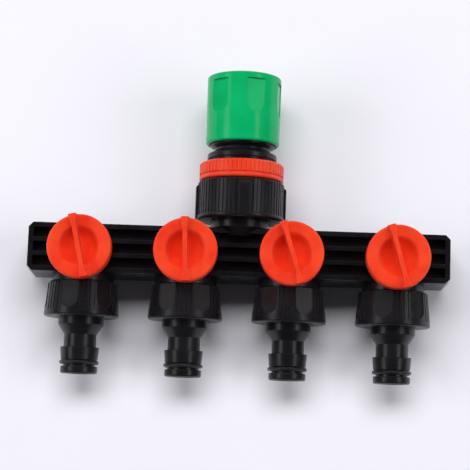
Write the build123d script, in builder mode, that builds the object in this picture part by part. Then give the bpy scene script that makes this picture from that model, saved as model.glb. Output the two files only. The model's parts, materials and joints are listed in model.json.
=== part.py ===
from build123d import *

import os
from math import atan2, cos, degrees, radians, sin

# Four-way garden hose splitter. A ribbed manifold bar carries four quarter-turn ball valves with
# dished knobs, four screw-on tap connectors with quick-connect spigots, and a swivel inlet nut with
# a reducer and a quick coupler whose green sleeve slides back to let its four claws open.
#
# The bar runs along X, the inlet points along +Y, the outlets along -Y and the knobs along +Z.
# The origin is at the bottom centre of the whole fitting. In the comments and names below, a
# "flow" height is measured along Y from the bar's centre line, and a "valve" height along Z from it.
# The valves stand a little nearer to the outlets than the bar's centre line.

os.makedirs("parts", exist_ok=True)

# ---------------------------------------------------------------- driving dimensions (millimetres)
outlet_pitch = 44.6
outlet_count = 4
bar_length = 180.2
bar_height = 20.8
bar_depth = 19.0
bar_corner = 2.0
bar_draft = 3.8
edge_round = 0.35

inlet_tip = 77.8
outlet_tip = -53.4
nut_lug_radius = 19.7

valve_shift = -0.9

axis_z = nut_lug_radius
bar_y = -(inlet_tip + outlet_tip) / 2
valve_y = bar_y + valve_shift
outlet_x = [outlet_pitch * (n - (outlet_count - 1) / 2) for n in range(outlet_count)]

# small sizes shared by several pieces: roundings, gaps between fitted faces, and how far a cut or
# a joined block runs past the face it starts from
small_round = 0.2
soft_round = 0.3
face_gap = 0.05
seal_gap = 0.02
washer_room = 0.2
cut_margin = 1.0
groove_margin = 0.3

# bar: end walls, ribs, pockets and the water channel
end_wall = 2.3
rib_pitch = 6.1
pocket_height = 4.1
pocket_rows = 3
front_pocket_floor = 4.0
rear_pocket_depth = 2.0
channel_height = 12.0
channel_depth = 8.4
channel_centre = -1.8
channel_round = 3.0
plug_depth = 2.3
plug_face = 90.4
plug_margin = 1.2
plug_gap = 0.05

# valve: chamber, ball, seat, bonnet and stem
housing_radius = 12.2
housing_top = 13.2
chamber_radius = 9.3
chamber_floor = -7.8
bar_join = 1.5
boss_step = 0.6
neck_join = 3.2
neck_join_radius = 9.3
bonnet_ledge = 9.4
bonnet_bore = 10.7
bonnet_radius = 10.6
gasket_thickness = 1.0
bonnet_top = 13.0
bonnet_boss_radius = 6.5
bonnet_boss_bottom = 8.8
gasket_room = 0.15
ball_radius = 7.2
ball_bore = 4.5
ball_gap = 0.05
slot_width = 3.0
slot_floor = 5.0
tongue_width = 2.8
tongue_length = 8.4
tongue_bottom = 5.15
seat_radius = 6.9
seat_pocket_radius = 7.0
seat_bore = 4.6
seat_face = valve_shift - 4.9
seat_end = valve_shift - 11.3
seat_pocket_end = valve_shift - 11.4
seat_wall = 1.5
outlet_bore = 5.5
stem_flange_radius = 5.0
stem_flange_bottom = 7.4
stem_flange_top = 8.6
stem_radius = 3.5
stem_bore = 3.56
stem_groove_radius = 2.45
stem_groove_low = 10.6
stem_groove_high = 12.2
stem_shoulder_gap = 0.2
stem_ring_gap = 0.01
stem_drive = 4.6
stem_drive_round = 0.4
stem_drive_top = 16.0

# knob
knob_radius = 13.5
knob_skirt_bottom = 15.3
knob_rim_top = 22.0
knob_rim_inner = 21.7
knob_rim_round = 0.9
knob_wall = 1.7
dish_radius = 8.3
dish_depth = 4.9
dish_floor_radius = 4.4
dish_floor_round = 7.0
dish_edge_inset = 0.3
dish_edge_drop = 0.6
dish_edge_round = 0.4
dish_lip = 0.5
dish_lip_round = 0.6
rim_land = 1.2
under_dish_spread = 2.2
blade_root = 0.5
hub_radius = 4.6
hub_bottom = 13.4
hub_socket_top = 16.2
drive_gap = 0.05
blade_top = 26.0
blade_waist = 0.95
blade_waist_reach = 8.5
blade_end = 1.75
blade_reach = 13.35
blade_round = 0.35
stop_radius_inner = 8.6
stop_radius_outer = 10.3
stop_half_angle = 8.0
stop_gap_angle = 0.5
stop_tab_bottom = 13.35
stop_lug_top = 15.0
stop_root = 0.5
stop_tab_angle = 180.0
knob_turn = 90.0
knob_rest_angles = [13.3, 2.4, 17.5, 15.5]

# pipe threads, drawn as rings: the major and root radius and the pitch of each size
small_crest, small_root, small_pitch = 13.22, 12.06, 1.814
large_crest, large_root, large_pitch = 16.62, 15.15, 2.309
thread_gap = 0.12

# outlet stub and tap connector
stub_boss_end = -13.9
stub_end = -24.2
stub_bore = 6.5
connector_top = -14.4
connector_bottom = -29.2
connector_top_radius = 14.8
connector_bottom_radius = 16.15
connector_floor = -26.3
connector_bore = 5.5
connector_washer_inner = 7.5
connector_washer_outer = 12.0
connector_turns = [15.0, 0.0, -6.0, 8.0]
grip_groups = 6
scallop_width = 7.6
scallop_bottom = -25.9
scallop_depth = 0.8
rib_angle = 7.2
ribs_per_group = 5
rib_groove_width = 0.75
rib_groove_depth = 0.45
rib_groove_bottom = -26.8
connector_top_round = 0.6
connector_bottom_round = 1.0
bore_lead_in = 0.4
head_round = 0.25
nose_round = 0.8
collar_radius, collar_end = 9.75, -32.4
neck_radius, neck_start, neck_end = 6.95, -36.6, -42.1
head_radius, head_tip_radius, head_end = 8.35, 7.85, -47.55
groove_radius, groove_end = 6.75, -50.3
nose_radius = 7.9
spigot_ring_radius = 8.45
spigot_ring_level = -48.6

# inlet neck and swivel nut
inlet_neck_radius = 12.5
inlet_neck_end = 20.0
inlet_bore = 8.0
inlet_bore_floor = 11.5
ring_groove_radius = 11.3
ring_groove_low, ring_groove_high = 17.4, 18.9
ring_outer_radius = 14.2
ring_side_gap = 0.08
ring_split = 30.0
nut_bottom = 14.3
nut_top = 31.2
nut_rim_top = 16.3
nut_rim_radius = 19.1
nut_body_radius = 18.7
nut_bore_radius = 12.58
nut_floor_top = 17.2
nut_cavity_radius = 15.4
nut_thread_start = 22.5
nut_lug_count = 4
nut_lug_turn = 5.0
nut_lug_half_angle = 6.5
nut_lug_groove_angle = 10.4
nut_lug_groove_width = 1.2
nut_lug_groove_depth = 0.75
nut_rib_angle = 6.0
nut_groove_width = 0.8
nut_groove_depth = 0.45
nut_rim_round = 1.1
nut_step_round = 0.4
nut_top_round = 0.9
nut_lead_in = 0.6
nut_lug_root = 1.0
nut_lug_inset = 0.4
nut_lug_ramp = 2.4
nut_lug_round = 0.8
inlet_washer_inner = 8.6
inlet_washer_outer = 14.6
inlet_washer_low, inlet_washer_high = 20.1, 22.3

# reducer
reducer_end = 22.4
reducer_flange_bottom = 31.7
reducer_lip_top = 33.6
reducer_groove_top = 34.0
reducer_top = 39.5
reducer_radius = 18.3
reducer_groove_radius = 17.6
reducer_ledge = 27.0
reducer_bore = 8.5
reducer_foot_chamfer = 0.6
reducer_top_chamfer = 0.8
reducer_top_inset = 1.0
reducer_shoulder_round = 0.4
knurl_count = 60
knurl_width = 0.7
knurl_depth = 0.5
reducer_washer_inner = 8.2
reducer_washer_outer = 12.0

# quick coupler
coupler_end = 29.05
coupler_thread_top = 38.9
coupler_collar_radius = 14.0
coupler_flange_low, coupler_flange_high = 41.2, 43.4
coupler_flange_radius = 15.05
waist_radius, waist_low, waist_high = 11.9, 45.1, 46.0
waist_round = 0.7
guide_radius, guide_low, guide_high = 14.2, 47.2, 50.4
socket_radius = 10.6
socket_top = 76.8
socket_bore = 8.6
seal_bore = 8.05
seal_ledge = 56.6
seal_bore_top = 62.1
coupler_bore = 5.5
coupler_inlet_bore = 8.0
coupler_step_gap = 0.1
flange_top_round = 0.5
mouth_lead_in = 0.5
mouth_taper = 0.8
seal_taper = 0.55
front_ring_low = 75.0
front_ring_radius = 14.4
front_ring_step = 0.6
front_ring_gap = 0.03
front_ring_round = 0.5

# claws
claw_count = 4
claw_turn = 45.0
claw_tip_radius = 7.25
claw_low, claw_high = 67.8, 70.4
claw_back_low = 11.9
claw_slope = 0.375
claw_tooth_width = 5.6
claw_head_width = 8.0
claw_window_gap = 0.15
claw_shoulder = 10.7
claw_tip_chamfer = 0.9

# sleeve and its spring
sleeve_bottom = 47.8
sleeve_bottom_radius = 16.0
sleeve_radius = 16.2
sleeve_bore = 14.4
sleeve_land_low = 61.8
sleeve_land_radius = 12.05
sleeve_cam_low = 67.8
sleeve_cam_top = 74.5
sleeve_mouth_round = 0.3
sleeve_bottom_round = 1.1
sleeve_top_round = 0.8
sleeve_inner_round = 0.3
dimple_count = 6
dimple_turn = 19.2
dimple_width = 8.3
dimple_top = 75.0
dimple_height = 14.6
dimple_floor = 15.3
spring_mean_radius = 12.9
spring_wire_radius = 0.5
spring_low, spring_high = 50.55, 61.65
spring_turns = 4


# ---------------------------------------------------------------- shared helpers
def flow_plane(x=0.0):
    """Plane through a flow axis: local x is the radius and local y the flow height."""
    return Plane(origin=(x, bar_y, axis_z), x_dir=(1, 0, 0), z_dir=(0, 0, 1))


def valve_plane():
    """Plane through the middle valve axis: local x is the radius and local y the valve height."""
    return Plane(origin=(0, valve_y, axis_z), x_dir=(1, 0, 0), z_dir=(0, -1, 0))


def flow_level(height, x=0.0):
    """Plane across a flow axis at a flow height: local x points along +Z and local y along +X."""
    return Plane(origin=(x, bar_y + height, axis_z), x_dir=(0, 0, 1), z_dir=(0, 1, 0))


def bar_level(height):
    """Plane across the bar at a valve height, centred on the bar."""
    return Plane(origin=(0, bar_y, axis_z + height), x_dir=(1, 0, 0), z_dir=(0, 0, 1))


def valve_level(height):
    """Plane across the valve axes at a valve height."""
    return Plane(origin=(0, valve_y, axis_z + height), x_dir=(1, 0, 0), z_dir=(0, 0, 1))


def side_plane(angle, radius, height, lean=0.0):
    """Plane facing out from the flow axis: local x runs around it, local y along it.

    The angle is counted from +Z towards +X, and a positive lean turns the plane to face +Y more.
    """
    outward = Vector(sin(radians(angle)), 0, cos(radians(angle)))
    around = Vector(cos(radians(angle)), 0, -sin(radians(angle)))
    along = Vector(0, 1, 0)
    normal = outward * cos(radians(lean)) + along * sin(radians(lean))
    centre = Vector(0, bar_y + height, axis_z) + outward * radius
    return Plane(origin=centre, x_dir=around, z_dir=normal)


def outline(plane, corners):
    """A closed outline. Each corner is (x, y), or (x, y, rounding radius)."""
    with BuildSketch(plane) as sketch:
        with BuildLine():
            Polyline(*[corner[:2] for corner in corners], close=True)
        make_face()
        for corner in corners:
            if len(corner) == 3:
                nearest = sketch.vertices().sort_by_distance((corner[0], corner[1]))[0]
                fillet(nearest, corner[2])
    return sketch.sketch


def thread_rings(crest, root, pitch, low, high):
    """Corners of ring-shaped thread crests on an outline, from the low to the high flow height."""
    turns = int((high - low) / pitch)
    points = [(root, low)]
    for turn in range(turns):
        start = low + (high - low - turns * pitch) / 2 + turn * pitch
        points.append((root, start + 0.10 * pitch))
        points.append((crest, start + 0.40 * pitch))
        points.append((crest, start + 0.60 * pitch))
        points.append((root, start + 0.90 * pitch))
    points.append((root, high))
    return points


flow_axis = Axis((0, bar_y, axis_z), (0, 1, 0))
valve_axis = Axis((0, valve_y, axis_z), (0, 0, 1))

# ---------------------------------------------------------------- manifold body
rib_rows = [rib_pitch * (row - (pocket_rows - 1) / 2) for row in range(pocket_rows)]

with BuildPart() as manifold_body:
    # the mould's draft makes the bar a little larger towards its back
    with BuildSketch(bar_level(bar_depth / 2)) as bar_outline:
        Rectangle(bar_length, bar_height)
        chamfer(bar_outline.vertices(), bar_corner)
    extrude(amount=-bar_depth, taper=-bar_draft)
    with BuildSketch(bar_level(front_pocket_floor)):
        with Locations(*[(0, row) for row in rib_rows]):
            RectangleRounded(bar_length - 2 * end_wall, pocket_height, edge_round)
    extrude(amount=bar_depth, mode=Mode.SUBTRACT)
    with BuildSketch(bar_level(-bar_depth)):
        with Locations(*[(0, row) for row in rib_rows]):
            RectangleRounded(bar_length - 2 * end_wall, pocket_height, edge_round)
    extrude(amount=bar_depth / 2 + rear_pocket_depth, mode=Mode.SUBTRACT)
    fillet(manifold_body.faces().sort_by(Axis.Z)[-1].edges(), edge_round)
    with BuildSketch(valve_level(-bar_depth / 2)):
        with Locations(*[(x, 0) for x in outlet_x]):
            Circle(housing_radius)
    extrude(amount=bar_depth / 2 + housing_top)

    # outlet stubs with their thread rings, and the inlet neck with the retaining ring's groove
    for x in outlet_x:
        stub_thread = thread_rings(small_crest, small_root, small_pitch, stub_end, stub_boss_end)
        stub_outline = [(0, stub_end)] + stub_thread
        stub_outline += [(small_crest, stub_boss_end), (small_crest, -bar_height / 2 - boss_step)]
        stub_outline += [
            (housing_radius - cut_margin, -bar_height / 2 + bar_join),
            (0, -bar_height / 2 + bar_join),
        ]
        revolve(outline(flow_plane(x), stub_outline), axis=Axis((x, bar_y, axis_z), (0, 1, 0)))
    neck_outline = [
        (0, bar_height / 2 - neck_join),
        (neck_join_radius, bar_height / 2 - neck_join),
        (inlet_neck_radius, bar_height / 2 + boss_step),
        (inlet_neck_radius, ring_groove_low),
        (ring_groove_radius, ring_groove_low),
        (ring_groove_radius, ring_groove_high),
        (inlet_neck_radius, ring_groove_high),
        (inlet_neck_radius, inlet_neck_end, edge_round),
        (0, inlet_neck_end),
    ]
    revolve(outline(flow_plane(), neck_outline), axis=flow_axis)

    # water ways: the channel along the bar, the inlet, the valve chambers and the outlets
    with BuildSketch(Plane.YZ):
        with Locations((bar_y, axis_z + channel_centre)):
            RectangleRounded(channel_height, channel_depth, channel_round)
    extrude(amount=bar_length, both=True, mode=Mode.SUBTRACT)
    for side in (-1, 1):
        with BuildSketch(Plane.YZ.offset(side * (plug_face - plug_depth))):
            with Locations((bar_y, axis_z + channel_centre)):
                RectangleRounded(
                    channel_height + 2 * plug_margin,
                    channel_depth + 2 * plug_margin,
                    channel_round + plug_margin,
                )
        extrude(amount=side * 2 * plug_depth, mode=Mode.SUBTRACT)
    with BuildSketch(flow_level(0)):
        with Locations((channel_centre, 0)):
            RectangleRounded(channel_depth, 2 * inlet_bore, channel_round)
    extrude(amount=inlet_bore_floor + cut_margin, mode=Mode.SUBTRACT)
    with BuildSketch(flow_level(inlet_bore_floor)):
        Circle(inlet_bore)
    extrude(amount=inlet_neck_end, mode=Mode.SUBTRACT)
    with BuildSketch(valve_level(chamber_floor)):
        with Locations(*[(x, 0) for x in outlet_x]):
            Circle(chamber_radius)
    extrude(amount=housing_top - chamber_floor, mode=Mode.SUBTRACT)
    with BuildSketch(valve_level(bonnet_ledge)):
        with Locations(*[(x, 0) for x in outlet_x]):
            Circle(bonnet_bore)
    extrude(amount=housing_top, mode=Mode.SUBTRACT)
    for x in outlet_x:
        with BuildSketch(flow_level(seat_pocket_end, x)):
            Circle(seat_pocket_radius)
        extrude(amount=-seat_pocket_end + seat_face, mode=Mode.SUBTRACT)
        with BuildSketch(flow_level(stub_end, x)):
            Circle(outlet_bore)
        extrude(amount=-stub_end, mode=Mode.SUBTRACT)
        with BuildSketch(flow_level(stub_end, x)):
            Circle(stub_bore)
        extrude(amount=seat_pocket_end - stub_end - seat_wall, mode=Mode.SUBTRACT)
manifold_body.part.label = "manifold_body"
export_step(manifold_body.part, "parts/manifold_body.step")

# ---------------------------------------------------------------- end plugs of the channel
for side, direction in (("left", -1), ("right", 1)):
    with BuildPart() as end_plug:
        with BuildSketch(Plane.YZ.offset(direction * (plug_face - plug_depth + plug_gap))):
            with Locations((bar_y, axis_z + channel_centre)):
                RectangleRounded(
                    channel_height + 2 * (plug_margin - plug_gap),
                    channel_depth + 2 * (plug_margin - plug_gap),
                    channel_round + plug_margin - plug_gap,
                )
        extrude(amount=direction * (plug_depth - plug_gap))
    end_plug.part.label = f"end_plug_{side}"
    export_step(end_plug.part, f"parts/end_plug_{side}.step")

# ---------------------------------------------------------------- tap connector and its seals
connector_height = connector_top - connector_bottom
connector_lean = degrees(
    atan2(connector_bottom_radius - connector_top_radius, connector_height)
)
grip_middle = (connector_top + connector_bottom) / 2
grip_middle_radius = (connector_top_radius + connector_bottom_radius) / 2

with BuildPart() as tap_connector:
    female_thread = thread_rings(
        small_crest + thread_gap, small_root + thread_gap, small_pitch, stub_end, stub_boss_end
    )
    connector_outline = [
        (connector_bore, outlet_tip + bore_lead_in),
        (connector_bore, connector_floor),
        (connector_washer_outer + washer_room, connector_floor),
        (connector_washer_outer + washer_room, stub_end),
    ]
    connector_outline += female_thread[1:-1]
    connector_outline += [
        (small_root + thread_gap, connector_top),
        (connector_top_radius, connector_top, connector_top_round),
        (connector_bottom_radius, connector_bottom, connector_bottom_round),
        (collar_radius, connector_bottom),
        (collar_radius, collar_end, soft_round),
        (neck_radius, neck_start),
        (neck_radius, neck_end),
        (head_radius, neck_end, head_round),
        (head_tip_radius, head_end, small_round),
        (groove_radius, head_end),
        (groove_radius, groove_end),
        (nose_radius, groove_end, small_round),
        (nose_radius, outlet_tip, nose_round),
        (connector_bore + bore_lead_in, outlet_tip),
    ]
    revolve(outline(flow_plane(), connector_outline), axis=flow_axis)
    for group in range(grip_groups):
        group_angle = group * 360 / grip_groups
        scallop_angle = group_angle + 180 / grip_groups
        scallop_radius = grip_middle_radius - scallop_depth
        with BuildSketch(side_plane(scallop_angle, scallop_radius, grip_middle, connector_lean)):
            with Locations((0, scallop_bottom + scallop_width / 2 - grip_middle)):
                Circle(scallop_width / 2)
            with Locations((0, scallop_bottom + scallop_width / 2 - grip_middle)):
                Rectangle(scallop_width, connector_height, align=(Align.CENTER, Align.MIN))
        extrude(amount=connector_height, mode=Mode.SUBTRACT)
        for rib in range(ribs_per_group - 1):
            rib_turn = group_angle + rib_angle * (rib - (ribs_per_group - 2) / 2)
            rib_radius = grip_middle_radius - rib_groove_depth
            with BuildSketch(side_plane(rib_turn, rib_radius, grip_middle, connector_lean)):
                with Locations((0, rib_groove_bottom - grip_middle)):
                    Rectangle(rib_groove_width, connector_height, align=(Align.CENTER, Align.MIN))
            extrude(amount=connector_height, mode=Mode.SUBTRACT)

with BuildPart() as connector_washer:
    washer_outline = [
        (connector_washer_inner, connector_floor + face_gap),
        (connector_washer_outer, connector_floor + face_gap),
        (connector_washer_outer, stub_end - face_gap),
        (connector_washer_inner, stub_end - face_gap),
    ]
    revolve(outline(flow_plane(), washer_outline), axis=flow_axis)

ring_section = (spigot_ring_radius - groove_radius) / 2
with BuildPart() as spigot_o_ring:
    with BuildSketch(flow_plane()):
        with Locations((groove_radius + ring_section + seal_gap, spigot_ring_level)):
            Circle(ring_section - seal_gap)
    revolve(axis=flow_axis)

# ---------------------------------------------------------------- valve: bonnet, gasket and seat
lug_offset = 2 * stop_half_angle + stop_gap_angle
lug_angles = (stop_tab_angle - lug_offset, stop_tab_angle + knob_turn + lug_offset)


def stop_block(angle, low, high):
    """An arc-shaped block about the valve axis, centred at an angle counted from +Y."""
    with BuildSketch(valve_level(low)) as sketch:
        with BuildLine():
            arcs = []
            for radius in (stop_radius_inner, stop_radius_outer):
                arcs.append(
                    CenterArc((0, 0), radius, 90 + angle - stop_half_angle, 2 * stop_half_angle)
                )
            Line(arcs[0] @ 0, arcs[1] @ 0)
            Line(arcs[0] @ 1, arcs[1] @ 1)
        make_face()
    return extrude(sketch.sketch, amount=high - low)


with BuildPart() as valve_bonnet:
    bonnet_outline = [
        (stem_bore, bonnet_boss_bottom),
        (bonnet_boss_radius, bonnet_boss_bottom, small_round),
        (bonnet_boss_radius, bonnet_ledge + gasket_thickness),
        (bonnet_radius, bonnet_ledge + gasket_thickness),
        (bonnet_radius, bonnet_top, soft_round),
        (stem_bore, bonnet_top),
    ]
    revolve(outline(valve_plane(), bonnet_outline), axis=valve_axis)
    add([stop_block(angle, bonnet_top - stop_root, stop_lug_top) for angle in lug_angles])

with BuildPart() as bonnet_gasket:
    gasket_outline = [
        (chamber_radius + gasket_room, bonnet_ledge + seal_gap),
        (bonnet_radius, bonnet_ledge + seal_gap),
        (bonnet_radius, bonnet_ledge + gasket_thickness - seal_gap),
        (chamber_radius + gasket_room, bonnet_ledge + gasket_thickness - seal_gap),
    ]
    revolve(outline(valve_plane(), gasket_outline), axis=valve_axis)

with BuildPart() as valve_seat:
    seat_outline = [
        (seat_bore, seat_end),
        (seat_radius, seat_end, small_round),
        (seat_radius, seat_face, small_round),
        (seat_bore, seat_face),
    ]
    revolve(outline(flow_plane(), seat_outline), axis=flow_axis)
    with Locations((0, valve_y, axis_z)):
        Sphere(ball_radius + ball_gap, mode=Mode.SUBTRACT)

# ---------------------------------------------------------------- valve: ball, stem and knob
with BuildPart() as valve_ball:
    with Locations((0, valve_y, axis_z)):
        Sphere(ball_radius)
    with BuildSketch(flow_level(valve_shift)):
        Circle(ball_bore)
    extrude(amount=ball_radius, both=True, mode=Mode.SUBTRACT)
    with BuildSketch(valve_level(slot_floor)):
        Rectangle(slot_width, 2 * ball_radius)
    extrude(amount=ball_radius, mode=Mode.SUBTRACT)

with BuildPart() as valve_stem:
    stem_outline = [
        (0, stem_flange_bottom),
        (stem_flange_radius, stem_flange_bottom),
        (stem_flange_radius, stem_flange_top, small_round),
        (stem_radius, stem_flange_top),
        (stem_radius, stem_groove_low),
        (stem_groove_radius, stem_groove_low),
        (stem_groove_radius, stem_groove_high),
        (stem_radius, stem_groove_high),
        (stem_radius, hub_bottom - stem_shoulder_gap),
        (0, hub_bottom - stem_shoulder_gap),
    ]
    revolve(outline(valve_plane(), stem_outline), axis=valve_axis)
    with BuildSketch(valve_level(tongue_bottom)):
        Rectangle(tongue_width, tongue_length)
    extrude(amount=stem_flange_bottom - tongue_bottom)
    with BuildSketch(valve_level(hub_bottom - stem_shoulder_gap)):
        RectangleRounded(stem_drive, stem_drive, stem_drive_round)
    extrude(amount=stem_drive_top - hub_bottom + stem_shoulder_gap)

stem_ring_section = (stem_radius - stem_groove_radius) / 2
with BuildPart() as stem_o_ring:
    with BuildSketch(valve_plane()):
        ring_height = (stem_groove_low + stem_groove_high) / 2
        with Locations((stem_groove_radius + stem_ring_section, ring_height)):
            Circle(stem_ring_section - stem_ring_gap)
    revolve(axis=valve_axis)

dish_floor = knob_rim_inner - dish_depth
under_dish = dish_floor - knob_wall
with BuildPart() as knob:
    with BuildSketch(valve_plane()) as knob_section:
        with BuildLine():
            top = Polyline(
                (0, dish_floor),
                (dish_floor_radius, dish_floor),
                (dish_radius - dish_edge_inset, knob_rim_inner - dish_edge_drop),
                (dish_radius + dish_lip, knob_rim_inner),
                (knob_radius - rim_land, knob_rim_top),
                (knob_radius, knob_rim_top),
                (knob_radius, knob_skirt_bottom),
                (knob_radius - knob_wall, knob_skirt_bottom),
                (knob_radius - knob_wall, knob_rim_inner - knob_wall),
                (dish_radius + rim_land, knob_rim_inner - knob_wall),
                (dish_floor_radius + under_dish_spread, under_dish),
                (hub_radius, under_dish),
                (hub_radius, hub_bottom),
                (0, hub_bottom),
            )
            Line(top @ 1, top @ 0)
        make_face()
        corner_rounds = (
            ((dish_floor_radius, dish_floor), dish_floor_round),
            ((dish_radius - dish_edge_inset, knob_rim_inner - dish_edge_drop), dish_edge_round),
            ((dish_radius + dish_lip, knob_rim_inner), dish_lip_round),
            ((knob_radius, knob_rim_top), knob_rim_round),
            ((knob_radius, knob_skirt_bottom), soft_round),
            ((knob_radius - knob_wall, knob_rim_inner - knob_wall), dish_lip_round),
        )
        for corner, rounding in corner_rounds:
            fillet(knob_section.vertices().sort_by_distance(corner)[0], rounding)
    revolve(axis=valve_axis)
    with BuildSketch(valve_level(dish_floor - blade_root)):
        with BuildLine():
            sides = []
            for side in (-1, 1):
                corners = (
                    (side * blade_end, -blade_reach),
                    (side * blade_waist, -blade_waist_reach),
                    (side * blade_waist, blade_waist_reach),
                    (side * blade_end, blade_reach),
                )
                sides.append(Polyline(*corners))
            RadiusArc(sides[0] @ 1, sides[1] @ 1, knob_radius)
            RadiusArc(sides[1] @ 0, sides[0] @ 0, knob_radius)
        make_face()
    extrude(amount=blade_top - dish_floor + blade_root)
    blade_edges = knob.faces().sort_by(Axis.Z)[-1].edges()
    fillet(blade_edges, blade_round)
    with BuildSketch(valve_level(hub_bottom)):
        RectangleRounded(
            stem_drive + 2 * drive_gap, stem_drive + 2 * drive_gap, stem_drive_round
        )
    extrude(amount=hub_socket_top - hub_bottom, mode=Mode.SUBTRACT)
    add(stop_block(stop_tab_angle, stop_tab_bottom, knob_rim_inner - knob_wall + soft_round))

# ---------------------------------------------------------------- four sets of outlet pieces
outlet_pieces = {
    "connector_washer": connector_washer,
    "spigot_o_ring": spigot_o_ring,
    "valve_bonnet": valve_bonnet,
    "bonnet_gasket": bonnet_gasket,
    "valve_seat": valve_seat,
}
turning_pieces = {
    "knob": knob,
    "valve_stem": valve_stem,
    "stem_o_ring": stem_o_ring,
    "valve_ball": valve_ball,
}
for number, x in enumerate(outlet_x, start=1):
    shift = Location((x, 0, 0))
    placed = tap_connector.part.rotate(flow_axis, connector_turns[number - 1]).moved(shift)
    placed.label = f"tap_connector_{number}"
    export_step(placed, f"parts/tap_connector_{number}.step")
    for name, piece in outlet_pieces.items():
        placed = piece.part.moved(shift)
        placed.label = f"{name}_{number}"
        export_step(placed, f"parts/{name}_{number}.step")
    for name, piece in turning_pieces.items():
        placed = piece.part.rotate(valve_axis, knob_rest_angles[number - 1]).moved(shift)
        placed.label = f"{name}_{number}"
        export_step(placed, f"parts/{name}_{number}.step")

# ---------------------------------------------------------------- inlet: washer, ring and nut
with BuildPart() as inlet_washer:
    inlet_washer_outline = [
        (inlet_washer_inner, inlet_washer_low),
        (inlet_washer_outer, inlet_washer_low),
        (inlet_washer_outer, inlet_washer_high),
        (inlet_washer_inner, inlet_washer_high),
    ]
    revolve(outline(flow_plane(), inlet_washer_outline), axis=flow_axis)
inlet_washer.part.label = "inlet_washer"
export_step(inlet_washer.part, "parts/inlet_washer.step")

with BuildPart() as nut_retaining_ring:
    ring_outline = [
        (ring_groove_radius + face_gap, ring_groove_low + ring_side_gap),
        (ring_outer_radius, ring_groove_low + ring_side_gap),
        (ring_outer_radius, ring_groove_high - ring_side_gap),
        (ring_groove_radius + face_gap, ring_groove_high - ring_side_gap),
    ]
    revolve(
        outline(flow_plane(), ring_outline), axis=flow_axis, revolution_arc=360 - ring_split
    )
nut_retaining_ring.part.label = "nut_retaining_ring"
export_step(nut_retaining_ring.part, "parts/nut_retaining_ring.step")

lug_angles_on_nut = [nut_lug_turn + n * 360 / nut_lug_count for n in range(nut_lug_count)]
with BuildPart() as swivel_nut:
    nut_thread = thread_rings(
        large_crest + thread_gap,
        large_root + thread_gap,
        large_pitch,
        nut_thread_start,
        reducer_flange_bottom,
    )
    nut_outline = [
        (nut_bore_radius, nut_bottom),
        (nut_rim_radius, nut_bottom, nut_rim_round),
        (nut_rim_radius, nut_rim_top, nut_step_round),
        (nut_body_radius, nut_rim_top),
        (nut_body_radius, nut_top, nut_top_round),
        (large_root + thread_gap + nut_lead_in, nut_top),
    ]
    nut_outline += [point for point in reversed(nut_thread) if point[1] < nut_top - nut_lead_in]
    nut_outline += [(nut_cavity_radius, nut_floor_top), (nut_bore_radius, nut_floor_top)]
    revolve(outline(flow_plane(), nut_outline), axis=flow_axis)
    for lug_angle in lug_angles_on_nut:
        # the section starts in the plane that faces the lug's edge, and is swept through the lug
        edge = lug_angle - nut_lug_half_angle
        lug_plane = Plane(
            origin=(0, bar_y, axis_z),
            x_dir=(sin(radians(edge)), 0, cos(radians(edge))),
            z_dir=(cos(radians(edge)), 0, -sin(radians(edge))),
        )
        lug_outline = [
            (nut_body_radius - nut_lug_root, -nut_bottom - nut_lug_inset),
            (nut_lug_radius, -nut_bottom - nut_lug_inset, nut_lug_round),
            (nut_lug_radius, -nut_top + nut_lug_ramp, nut_lug_round),
            (nut_body_radius - nut_lug_root, -nut_top + nut_lug_inset),
        ]
        revolve(
            outline(lug_plane, lug_outline), axis=flow_axis, revolution_arc=2 * nut_lug_half_angle
        )
    groove_height = nut_top - nut_rim_top
    groove_spots = []
    for lug_angle in lug_angles_on_nut:
        for turn in (-nut_lug_groove_angle, nut_lug_groove_angle):
            groove_spots.append((lug_angle + turn, nut_lug_groove_width, nut_lug_groove_depth))
        first = lug_angle + nut_lug_groove_angle + nut_rib_angle
        last = lug_angle + 360 / nut_lug_count - nut_lug_groove_angle - nut_rib_angle
        count = round((last - first) / nut_rib_angle)
        for rib in range(count + 1):
            turn = first + rib * (last - first) / count
            groove_spots.append((turn, nut_groove_width, nut_groove_depth))
    for angle, width, depth in groove_spots:
        with BuildSketch(side_plane(angle, nut_body_radius - depth, nut_rim_top)):
            Rectangle(width, groove_height + cut_margin, align=(Align.CENTER, Align.MIN))
        extrude(amount=depth + groove_margin, mode=Mode.SUBTRACT)
swivel_nut.part.label = "swivel_nut"
export_step(swivel_nut.part, "parts/swivel_nut.step")

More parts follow.
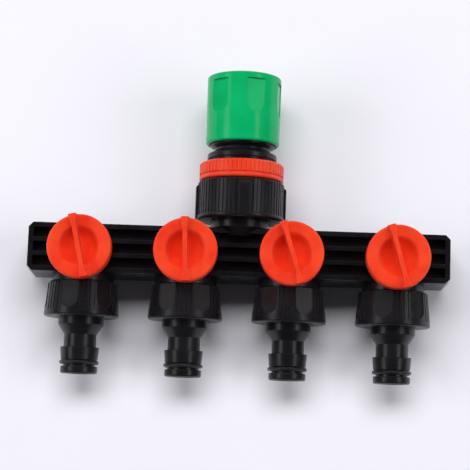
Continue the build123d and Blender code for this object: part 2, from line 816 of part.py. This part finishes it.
# ---------------------------------------------------------------- reducer and its washer
with BuildPart() as reducer:
    outer_thread = thread_rings(
        large_crest, large_root, large_pitch, nut_thread_start, reducer_flange_bottom
    )
    inner_thread = thread_rings(
        small_crest + thread_gap,
        small_root + thread_gap,
        small_pitch,
        coupler_end,
        coupler_thread_top,
    )
    reducer_outline = [(reducer_bore, reducer_end), (large_root, reducer_end)]
    reducer_outline += [point for point in outer_thread if point[1] > nut_thread_start]
    reducer_outline += [
        (reducer_radius - reducer_foot_chamfer, reducer_flange_bottom),
        (reducer_radius, reducer_flange_bottom + reducer_foot_chamfer),
        (reducer_radius, reducer_lip_top, soft_round),
        (reducer_groove_radius, reducer_lip_top),
        (reducer_groove_radius, reducer_groove_top),
        (reducer_radius, reducer_groove_top, small_round),
        (reducer_radius, reducer_top - reducer_top_chamfer, reducer_shoulder_round),
        (reducer_radius - reducer_top_inset, reducer_top, soft_round),
        (small_crest + thread_gap, reducer_top),
    ]
    reducer_outline += list(reversed(inner_thread))
    reducer_outline += [
        (reducer_washer_outer + washer_room, coupler_end),
        (reducer_washer_outer + washer_room, reducer_ledge),
        (reducer_bore, reducer_ledge),
    ]
    revolve(outline(flow_plane(), reducer_outline), axis=flow_axis)
    for knurl in range(knurl_count):
        knurl_angle = knurl * 360 / knurl_count
        with BuildSketch(
            side_plane(knurl_angle, reducer_radius - knurl_depth, reducer_groove_top)
        ):
            Rectangle(
                knurl_width,
                reducer_top - reducer_groove_top + cut_margin,
                align=(Align.CENTER, Align.MIN),
            )
        extrude(amount=knurl_depth + groove_margin, mode=Mode.SUBTRACT)
reducer.part.label = "reducer"
export_step(reducer.part, "parts/reducer.step")

with BuildPart() as reducer_washer:
    reducer_washer_outline = [
        (reducer_washer_inner, reducer_ledge + seal_gap),
        (reducer_washer_outer, reducer_ledge + seal_gap),
        (reducer_washer_outer, coupler_end - seal_gap),
        (reducer_washer_inner, coupler_end - seal_gap),
    ]
    revolve(outline(flow_plane(), reducer_washer_outline), axis=flow_axis)
reducer_washer.part.label = "reducer_washer"
export_step(reducer_washer.part, "parts/reducer_washer.step")

# ---------------------------------------------------------------- quick coupler
claw_angles = [claw_turn + n * 360 / claw_count for n in range(claw_count)]

with BuildPart() as coupler_body:
    coupler_thread = thread_rings(
        small_crest, small_root, small_pitch, coupler_end, coupler_thread_top
    )
    coupler_outline = [(coupler_inlet_bore, coupler_end)]
    coupler_outline += coupler_thread
    coupler_outline += [
        (small_root, reducer_top + coupler_step_gap),
        (coupler_collar_radius, reducer_top + coupler_step_gap),
        (coupler_collar_radius, coupler_flange_low),
        (coupler_flange_radius, coupler_flange_low, soft_round),
        (coupler_flange_radius, coupler_flange_high, flange_top_round),
        (waist_radius, waist_low, waist_round),
        (waist_radius, waist_high, waist_round),
        (guide_radius, guide_low, soft_round),
        (guide_radius, guide_high, soft_round),
        (socket_radius, guide_high),
        (socket_radius, front_ring_low),
        (socket_radius - front_ring_step, front_ring_low),
        (socket_radius - front_ring_step, socket_top, small_round),
        (socket_bore + mouth_lead_in, socket_top),
        (socket_bore, socket_top - mouth_taper),
        (socket_bore, seal_bore_top + seal_taper),
        (seal_bore, seal_bore_top),
        (seal_bore, seal_ledge),
        (coupler_bore, seal_ledge),
        (coupler_bore, waist_low),
        (coupler_inlet_bore, coupler_flange_low),
    ]
    revolve(outline(flow_plane(), coupler_outline), axis=flow_axis)
    claw_height = claw_high - claw_low
    for angle in claw_angles:
        with BuildSketch(side_plane(angle, 0, (claw_low + claw_high) / 2)):
            Rectangle(
                claw_tooth_width + 2 * claw_window_gap, claw_height + 2 * claw_window_gap
            )
        extrude(amount=socket_radius + cut_margin, mode=Mode.SUBTRACT)
coupler_body.part.label = "coupler_body"
export_step(coupler_body.part, "parts/coupler_body.step")

with BuildPart() as socket_front_ring:
    front_ring_outline = [
        (socket_radius - front_ring_step + front_ring_gap, front_ring_low + front_ring_gap),
        (front_ring_radius, front_ring_low + front_ring_gap, soft_round),
        (front_ring_radius, socket_top, front_ring_round),
        (socket_radius - front_ring_step + front_ring_gap, socket_top),
    ]
    revolve(outline(flow_plane(), front_ring_outline), axis=flow_axis)
socket_front_ring.part.label = "socket_front_ring"
export_step(socket_front_ring.part, "parts/socket_front_ring.step")

claw_back_high = claw_back_low + claw_slope * claw_height
for number, angle in enumerate(claw_angles, start=1):
    with BuildPart() as locking_claw:
        tooth_centre = (claw_low + claw_high) / 2
        with BuildSketch(side_plane(angle, 0, tooth_centre)):
            Rectangle(claw_tooth_width, claw_height)
        extrude(amount=claw_back_high + cut_margin)
        with BuildSketch(side_plane(angle, claw_shoulder, tooth_centre)):
            Rectangle(claw_head_width, claw_height)
        extrude(amount=claw_back_high - claw_shoulder + cut_margin)
        # the back is a cone that matches the sleeve's cam, and the tip follows the spigot's neck
        claw_envelope = [
            (claw_tip_radius, claw_low),
            (claw_back_low, claw_low),
            (claw_back_high, claw_high),
            (claw_tip_radius + claw_tip_chamfer, claw_high),
            (claw_tip_radius, claw_high - claw_tip_chamfer),
        ]
        revolve(
            outline(flow_plane(), claw_envelope), axis=flow_axis, mode=Mode.INTERSECT
        )
    locking_claw.part.label = f"locking_claw_{number}"
    export_step(locking_claw.part, f"parts/locking_claw_{number}.step")

# ---------------------------------------------------------------- release sleeve and its spring
cam_top_radius = sleeve_land_radius + claw_slope * (sleeve_cam_top - sleeve_cam_low)
with BuildPart() as release_sleeve:
    sleeve_outline = [
        (sleeve_bore, sleeve_bottom, sleeve_inner_round),
        (sleeve_bottom_radius, sleeve_bottom, sleeve_bottom_round),
        (sleeve_radius, inlet_tip, sleeve_top_round),
        (cam_top_radius, inlet_tip, sleeve_mouth_round),
        (cam_top_radius, sleeve_cam_top),
        (sleeve_land_radius, sleeve_cam_low),
        (sleeve_land_radius, sleeve_land_low),
        (sleeve_bore, sleeve_land_low),
    ]
    revolve(outline(flow_plane(), sleeve_outline), axis=flow_axis)
    for dimple in range(dimple_count):
        dimple_angle = dimple_turn + dimple * 360 / dimple_count
        with BuildSketch(side_plane(dimple_angle, dimple_floor, dimple_top)):
            with Locations((0, -dimple_height + dimple_width / 2)):
                Circle(dimple_width / 2)
            with Locations((0, 0)):
                Rectangle(
                    dimple_width,
                    dimple_height - dimple_width / 2,
                    align=(Align.CENTER, Align.MAX),
                )
        extrude(amount=sleeve_radius - dimple_floor + cut_margin, mode=Mode.SUBTRACT)
release_sleeve.part.label = "release_sleeve"
export_step(release_sleeve.part, "parts/release_sleeve.step")

# the spring is drawn as a coil with its axis along the flow
spring_pitch = (spring_high - spring_low - 2 * spring_wire_radius) / spring_turns
with BuildPart() as sleeve_spring:
    with BuildLine() as coil:
        Helix(
            spring_pitch,
            spring_pitch * spring_turns,
            spring_mean_radius,
            center=(0, bar_y + spring_low + spring_wire_radius, axis_z),
            direction=(0, 1, 0),
        )
    with BuildSketch(Plane(origin=coil.line @ 0, z_dir=coil.line % 0)):
        Circle(spring_wire_radius)
    sweep(is_frenet=True)
sleeve_spring.part.label = "sleeve_spring"
export_step(sleeve_spring.part, "parts/sleeve_spring.step")
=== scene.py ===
import json
from math import cos, pi, radians, sin

import bmesh
import bpy
from mathutils import Matrix, Vector


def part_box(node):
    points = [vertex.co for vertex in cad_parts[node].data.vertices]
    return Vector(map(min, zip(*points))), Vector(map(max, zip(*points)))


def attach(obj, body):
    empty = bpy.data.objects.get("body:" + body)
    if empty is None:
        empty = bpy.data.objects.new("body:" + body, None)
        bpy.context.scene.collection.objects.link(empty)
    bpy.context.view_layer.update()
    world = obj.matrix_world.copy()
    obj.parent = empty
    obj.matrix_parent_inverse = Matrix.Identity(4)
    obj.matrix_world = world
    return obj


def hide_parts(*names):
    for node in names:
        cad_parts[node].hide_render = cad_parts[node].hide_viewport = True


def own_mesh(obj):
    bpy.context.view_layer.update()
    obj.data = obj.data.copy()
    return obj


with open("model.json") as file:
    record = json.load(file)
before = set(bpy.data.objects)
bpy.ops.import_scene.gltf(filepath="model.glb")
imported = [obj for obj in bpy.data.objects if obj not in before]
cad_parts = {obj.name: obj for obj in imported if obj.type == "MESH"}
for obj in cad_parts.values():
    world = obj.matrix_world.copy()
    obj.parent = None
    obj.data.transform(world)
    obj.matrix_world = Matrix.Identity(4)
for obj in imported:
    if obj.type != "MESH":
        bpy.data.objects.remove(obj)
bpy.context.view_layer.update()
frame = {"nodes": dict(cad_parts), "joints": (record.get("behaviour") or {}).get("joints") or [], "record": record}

MM = 0.001

record = frame["record"]
joints = {joint["name"]: joint for joint in frame["joints"]}
bar_centre = Vector(joints["inlet_swivel_turn"]["pos_m"])
scene = bpy.context.scene
scene.view_settings.view_transform = "Standard"
scene.view_settings.look = "None"


# ------------------------------------------------------------------ camera
CAMERA_AZIMUTH = radians(4.50)
CAMERA_ELEVATION = radians(82.41)
CAMERA_ROLL = radians(-2.57)
CAMERA_DISTANCE = 613.2 * MM
CAMERA_LENS = 108.4
CAMERA_SENSOR = 36.0
CAMERA_NEAR = 0.05
CAMERA_FAR = 10.0
CAMERA_AIM = bar_centre + Vector((-1.96, 8.68, 0.0)) * MM


def make_camera():
    """The camera, looking down from the outlets' side."""
    back = Vector(
        (
            sin(CAMERA_AZIMUTH) * cos(CAMERA_ELEVATION),
            -cos(CAMERA_AZIMUTH) * cos(CAMERA_ELEVATION),
            sin(CAMERA_ELEVATION),
        )
    )
    level = (-back).cross(Vector((0, 0, 1))).normalized()
    upright = level.cross(-back)
    right = level * cos(CAMERA_ROLL) + upright * sin(CAMERA_ROLL)
    up = upright * cos(CAMERA_ROLL) - level * sin(CAMERA_ROLL)
    data = bpy.data.cameras.new("camera")
    data.sensor_width = CAMERA_SENSOR
    data.lens = CAMERA_LENS
    data.clip_start = CAMERA_NEAR
    data.clip_end = CAMERA_FAR
    camera = bpy.data.objects.new("camera", data)
    place = CAMERA_AIM + back * CAMERA_DISTANCE
    turn = Matrix((right, up, back)).transposed().to_4x4()
    camera.matrix_world = Matrix.Translation(place) @ turn
    scene.collection.objects.link(camera)
    scene.camera = camera


# ------------------------------------------------------------------ building a material
# the Mix node's colour sockets, and the cosine of the angle between the true and the softened
# normal at which a point starts to count as an edge and at which it is fully one
MIX_FIRST_COLOUR = 6
MIX_SECOND_COLOUR = 7
MIX_COLOUR_RESULT = 2
BEVEL_SAMPLES = 6
EDGE_STARTS = 0.995
EDGE_IS_FULL = 0.85


class Nodes:
    """Short calls for building a material's node tree."""

    def __init__(self, name):
        self.material = bpy.data.materials.new(name)
        self.material.use_nodes = True
        self.tree = self.material.node_tree
        self.tree.nodes.clear()
        self.output = self.tree.nodes.new("ShaderNodeOutputMaterial")
        self.shader = self.tree.nodes.new("ShaderNodeBsdfPrincipled")
        self.link(self.shader, "BSDF", self.output, "Surface")
        self.place = self.tree.nodes.new("ShaderNodeTexCoord")

    def link(self, source, output, target, socket):
        self.tree.links.new(source.outputs[output], target.inputs[socket])

    def set(self, **values):
        """Constants on the shader's sockets, with _ for a space in a name."""
        for name, value in values.items():
            self.shader.inputs[name.replace("_", " ")].default_value = value

    def use(self, **sources):
        """Other nodes' outputs on the shader's sockets, with _ for a space in a name."""
        for name, source in sources.items():
            self.link(source[0], source[1], self.shader, name.replace("_", " "))

    def noise(self, scale, detail=3.0, roughness=0.55, stretch=None, distortion=0.0):
        """Noise with a size of one over the scale, in metres; stretch makes it longer one way."""
        node = self.tree.nodes.new("ShaderNodeTexNoise")
        node.inputs["Scale"].default_value = scale
        node.inputs["Detail"].default_value = detail
        node.inputs["Roughness"].default_value = roughness
        node.inputs["Distortion"].default_value = distortion
        if stretch is None:
            self.link(self.place, "Object", node, "Vector")
        else:
            mapping = self.tree.nodes.new("ShaderNodeMapping")
            mapping.inputs["Scale"].default_value = stretch
            self.link(self.place, "Object", mapping, "Vector")
            self.link(mapping, "Vector", node, "Vector")
        return node, "Fac"

    def ramp(self, source, low, high, start=0.0, end=1.0):
        """A value that goes from start to end as the source goes from low to high."""
        node = self.tree.nodes.new("ShaderNodeMapRange")
        node.inputs["From Min"].default_value = low
        node.inputs["From Max"].default_value = high
        node.inputs["To Min"].default_value = start
        node.inputs["To Max"].default_value = end
        self.link(source[0], source[1], node, "Value")
        return node, "Result"

    def math(self, operation, first, second):
        """A sum or product of two values, each a number or another node's output."""
        node = self.tree.nodes.new("ShaderNodeMath")
        node.operation = operation
        for socket, value in enumerate((first, second)):
            if isinstance(value, tuple):
                self.link(value[0], value[1], node, socket)
            else:
                node.inputs[socket].default_value = value
        return node, "Value"

    def mix(self, share, first, second):
        """A colour between two colours, each a colour or another node's output."""
        node = self.tree.nodes.new("ShaderNodeMix")
        node.data_type = "RGBA"
        self.link(share[0], share[1], node, "Factor")
        for socket, value in ((MIX_FIRST_COLOUR, first), (MIX_SECOND_COLOUR, second)):
            if isinstance(value[0], bpy.types.Node):
                self.link(value[0], value[1], node, socket)
            else:
                node.inputs[socket].default_value = (*value, 1.0)
        return node, MIX_COLOUR_RESULT

    def edges(self, radius):
        """The normal softened at edges, and how far each point is into an edge."""
        bevel = self.tree.nodes.new("ShaderNodeBevel")
        bevel.samples = BEVEL_SAMPLES
        bevel.inputs["Radius"].default_value = radius
        geometry = self.tree.nodes.new("ShaderNodeNewGeometry")
        dot = self.tree.nodes.new("ShaderNodeVectorMath")
        dot.operation = "DOT_PRODUCT"
        self.link(bevel, "Normal", dot, 0)
        self.link(geometry, "Normal", dot, 1)
        return (bevel, "Normal"), self.ramp((dot, "Value"), EDGE_STARTS, EDGE_IS_FULL)

    def bump(self, heights, normal=None):
        """Bumps of (source, depth in metres), one after another."""
        for source, depth in heights:
            node = self.tree.nodes.new("ShaderNodeBump")
            node.inputs["Distance"].default_value = depth
            self.link(source[0], source[1], node, "Height")
            if normal is not None:
                self.link(normal[0], normal[1], node, "Normal")
            normal = (node, "Normal")
        return normal


# ------------------------------------------------------------------ materials
PLASTIC_IOR = 1.49
RUBBER_IOR = 1.5

# how deep light gets into a plastic, how strongly the specks, the worn edges and the handling
# marks show, and how many times the grain's depth the wider bumps have
SCATTER_DEPTH = 0.8 * MM
SPECK_SHARE = 0.35
WEAR_SHARE = 0.55
MARK_ROUGHNESS = 0.10
SPECK_BUMP = 1.6
CLOUD_BUMP = 10


def moulded_plastic(name, deep, light, worn, roughness, spread, grain, round_edge, glow=0.0, gloss=0.5):
    """Moulded plastic: mottled colour, a fine grain, worn edges and faint handling marks.

    Its roughness goes up and down by spread. The grain's depth and the edges' radius are in metres.
    Glow is the share of light that scatters inside, and gloss the strength of reflections.
    """
    m = Nodes(name)
    m.set(Metallic=0.0, IOR=PLASTIC_IOR, Specular_IOR_Level=gloss)
    m.set(Subsurface_Weight=glow, Subsurface_Scale=SCATTER_DEPTH)
    cloud = m.noise(scale=90.0, detail=4.0)
    speck = m.noise(scale=1400.0, detail=2.0, roughness=0.6)
    fine = m.noise(scale=5200.0, detail=2.0, roughness=0.6)
    marks = m.noise(scale=260.0, detail=5.0, roughness=0.7, stretch=(1.0, 0.22, 0.6), distortion=0.4)
    colour = m.mix(m.ramp(cloud, low=0.35, high=0.68), deep, light)
    specks = m.math("MULTIPLY", m.ramp(speck, low=0.56, high=0.75), SPECK_SHARE)
    colour = m.mix(specks, colour, light)
    soft_normal, edge = m.edges(round_edge)
    patchy = m.math("MULTIPLY", edge, m.ramp(marks, low=0.30, high=0.62))
    colour = m.mix(m.math("MULTIPLY", patchy, WEAR_SHARE), colour, worn)
    rough = m.ramp(cloud, low=0.3, high=0.7, start=roughness - spread, end=roughness + spread)
    handled = m.math("MULTIPLY", m.ramp(marks, low=0.58, high=0.8), MARK_ROUGHNESS)
    rough = m.math("ADD", rough, handled)
    bumps = [(fine, grain), (speck, grain * SPECK_BUMP), (cloud, grain * CLOUD_BUMP)]
    m.use(Base_Color=colour, Roughness=rough, Normal=m.bump(bumps, soft_normal))
    return m.material


def rubber(name):
    """Black rubber for the O-rings, gaskets and washers."""
    m = Nodes(name)
    m.set(IOR=RUBBER_IOR)
    cloud = m.noise(scale=300.0, detail=4.0)
    fine = m.noise(scale=4000.0, detail=3.0, roughness=0.65)
    m.use(
        Base_Color=m.mix(m.ramp(cloud, low=0.35, high=0.7), (0.008, 0.008, 0.009), (0.022, 0.022, 0.024)),
        Roughness=m.ramp(cloud, low=0.3, high=0.7, start=0.34, end=0.46),
        Normal=m.bump([(fine, 0.02 * MM)]),
    )
    return m.material


def spring_steel(name):
    """Drawn steel wire, with fine lines along it."""
    m = Nodes(name)
    m.set(Metallic=1.0)
    cloud = m.noise(scale=500.0, detail=4.0)
    lines = m.noise(scale=2500.0, detail=3.0, roughness=0.6, stretch=(0.1, 1.0, 0.1))
    m.use(
        Base_Color=m.mix(m.ramp(cloud, low=0.35, high=0.7), (0.42, 0.42, 0.44), (0.66, 0.66, 0.68)),
        Roughness=m.ramp(lines, low=0.3, high=0.7, start=0.22, end=0.38),
        Normal=m.bump([(lines, 0.01 * MM)]),
    )
    return m.material


def floor_paper(name):
    """The pale, slightly blue paper under the object."""
    m = Nodes(name)
    m.set(Roughness=0.85, Specular_IOR_Level=0.15)
    cloud = m.noise(scale=9.0, detail=4.0)
    fine = m.noise(scale=1800.0, detail=4.0, roughness=0.6)
    m.use(
        Base_Color=m.mix(m.ramp(cloud, low=0.3, high=0.7), (0.865, 0.855, 0.925), (0.885, 0.875, 0.945)),
        Normal=m.bump([(fine, 0.01 * MM)]),
    )
    return m.material


materials = {
    "black_plastic": moulded_plastic(
        "black_plastic",
        deep=(0.0066, 0.0058, 0.0070),
        light=(0.0115, 0.0102, 0.0125),
        worn=(0.085, 0.080, 0.092),
        roughness=0.30,
        spread=0.05,
        grain=0.010 * MM,
        round_edge=0.26 * MM,
        gloss=0.38,
    ),
    "orange_plastic": moulded_plastic(
        "orange_plastic",
        deep=(0.84, 0.034, 0.010),
        light=(0.94, 0.070, 0.020),
        worn=(1.0, 0.24, 0.10),
        roughness=0.42,
        spread=0.05,
        grain=0.012 * MM,
        round_edge=0.60 * MM,
        glow=0.10,
    ),
    "green_plastic": moulded_plastic(
        "green_plastic",
        deep=(0.002, 0.40, 0.120),
        light=(0.003, 0.46, 0.145),
        worn=(0.03, 0.56, 0.25),
        roughness=0.18,
        spread=0.03,
        grain=0.003 * MM,
        round_edge=0.45 * MM,
        glow=0.08,
        gloss=0.20,
    ),
    "white_plastic": moulded_plastic(
        "white_plastic",
        deep=(0.72, 0.72, 0.69),
        light=(0.82, 0.82, 0.79),
        worn=(0.88, 0.88, 0.86),
        roughness=0.4,
        spread=0.05,
        grain=0.008 * MM,
        round_edge=0.20 * MM,
    ),
    "rubber": rubber("rubber"),
    "steel": spring_steel("steel"),
}

slot_of = {part["node"]: part["material_slot"] for part in record["subparts"]}
for node_name, node in frame["nodes"].items():
    for slot in node.material_slots:
        slot.material = materials[slot_of[node_name]]


# ------------------------------------------------------------------ the spring
WIRE_RADIUS = 0.5 * MM
WIRE_SIDES = 12
SPRING_TURNS = 5.5
STEPS_PER_TURN = 56

# the share of the wire in the closed turns at each end, and how far they rise in wire radii
CLOSED_SHARE = 0.16
CLOSED_RISE = 2.1


def wire_height(t, length):
    """How far along the spring's length the wire's centre is, for t from 0 to 1 along the wire."""
    rise = CLOSED_RISE * WIRE_RADIUS
    open_length = length - 2 * WIRE_RADIUS - 2 * rise
    first = min(t / CLOSED_SHARE, 1.0)
    middle = min(max((t - CLOSED_SHARE) / (1 - 2 * CLOSED_SHARE), 0.0), 1.0)
    last = min(max((t - 1 + CLOSED_SHARE) / CLOSED_SHARE, 0.0), 1.0)
    return WIRE_RADIUS + rise * first + open_length * middle + rise * last


def make_spring():
    """A compression spring drawn as a tube, with its end turns closed."""
    low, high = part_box("sleeve_spring")
    centre_x = (low.x + high.x) / 2
    centre_z = (low.z + high.z) / 2
    coil_radius = (high.x - low.x) / 2 - WIRE_RADIUS
    count = int(SPRING_TURNS * STEPS_PER_TURN)
    bm = bmesh.new()
    rings = []
    for i in range(count + 1):
        t = i / count
        angle = 2 * pi * SPRING_TURNS * t
        radial = Vector((cos(angle), 0, sin(angle)))
        y = low.y + wire_height(t, high.y - low.y)
        centre = Vector((centre_x, y, centre_z)) + radial * coil_radius
        ring = []
        for k in range(WIRE_SIDES):
            a = 2 * pi * k / WIRE_SIDES
            point = centre + radial * WIRE_RADIUS * cos(a) + Vector((0, WIRE_RADIUS * sin(a), 0))
            ring.append(bm.verts.new(point))
        rings.append(ring)
    for first, second in zip(rings, rings[1:]):
        for k in range(WIRE_SIDES):
            after = (k + 1) % WIRE_SIDES
            bm.faces.new((first[k], first[after], second[after], second[k]))
    bm.faces.new(list(reversed(rings[0])))
    bm.faces.new(rings[-1])
    bmesh.ops.recalc_face_normals(bm, faces=bm.faces)
    mesh = bpy.data.meshes.new("spring_coil")
    bm.to_mesh(mesh)
    bm.free()
    for face in mesh.polygons:
        face.use_smooth = True
    spring = bpy.data.objects.new("spring_coil", mesh)
    spring.data.materials.append(materials["steel"])
    scene.collection.objects.link(spring)
    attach(spring, "inlet_swivel")
    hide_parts("sleeve_spring")
    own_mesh(spring)


make_spring()


# ------------------------------------------------------------------ floor and light
# where the floor meets the object: so far up from the spigots' tips, at the tap connectors' widest
# rims, and so far down from the inlet nut's top, where its lug stands out fully
RIM_FROM_TIP = 25.2 * MM
LUG_FROM_TOP = 3.2 * MM
FLOOR_GAP = 0.05 * MM
FLOOR_SIZE = 3.0


def make_floor():
    """The table top. It meets the inlet nut's lug and the tap connectors' lower rims."""
    nut_low, nut_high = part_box("swivel_nut")
    connector_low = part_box("tap_connector_2")[0]
    near = Vector((0, connector_low.y + RIM_FROM_TIP, connector_low.z - FLOOR_GAP))
    far = Vector((0, nut_high.y - LUG_FROM_TOP, nut_low.z - FLOOR_GAP))
    along = (far - near).normalized() * FLOOR_SIZE
    across = Vector((1, 0, 0)) * FLOOR_SIZE
    corners = [near + across * sx + along * sy for sx, sy in ((-1, -1), (1, -1), (1, 1), (-1, 1))]
    mesh = bpy.data.meshes.new("floor")
    mesh.from_pydata(corners, [], [(0, 1, 2, 3)])
    floor = bpy.data.objects.new("floor", mesh)
    floor.data.materials.append(floor_paper("floor_paper"))
    scene.collection.objects.link(floor)


def area_light(name, place, width, height, power, shines=True, lights=True):
    """A softbox aimed at the bar, which may give only its reflection or only its light."""
    data = bpy.data.lights.new(name, "AREA")
    data.shape = "RECTANGLE"
    data.size = width
    data.size_y = height
    data.energy = power
    light = bpy.data.objects.new(name, data)
    light.location = bar_centre + Vector(place)
    direction = bar_centre - light.location
    light.rotation_mode = "QUATERNION"
    light.rotation_quaternion = direction.to_track_quat("-Z", "Y")
    light.visible_glossy = shines
    light.visible_diffuse = lights
    scene.collection.objects.link(light)


def make_lights():
    """Soft light from above and behind, filled from the sides, with boxes for the reflections."""
    world = bpy.data.worlds.new("studio")
    world.use_nodes = True
    background = world.node_tree.nodes["Background"]
    background.inputs["Color"].default_value = (0.93, 0.93, 1.0, 1.0)
    background.inputs["Strength"].default_value = 0.06
    scene.world = world
    area_light("left_softbox", (-1.26, 0.05, 0.98), width=0.9, height=0.50, power=3.4)
    area_light("right_softbox", (1.12, 0.05, 1.12), width=0.9, height=0.42, power=3.0)
    area_light("far_softbox", (0.0, 1.45, 0.85), width=1.2, height=0.30, power=2.6, lights=False)
    area_light("left_fill", (-1.60, -0.10, 0.90), width=1.2, height=0.60, power=8.0, shines=False)
    area_light("right_fill", (1.60, -0.10, 0.90), width=1.2, height=0.60, power=8.0, shines=False)
    area_light("ceiling_panel", (-0.14, 1.25, 2.20), width=2.6, height=1.00, power=54.0, shines=False)


make_floor()
make_lights()
make_camera()
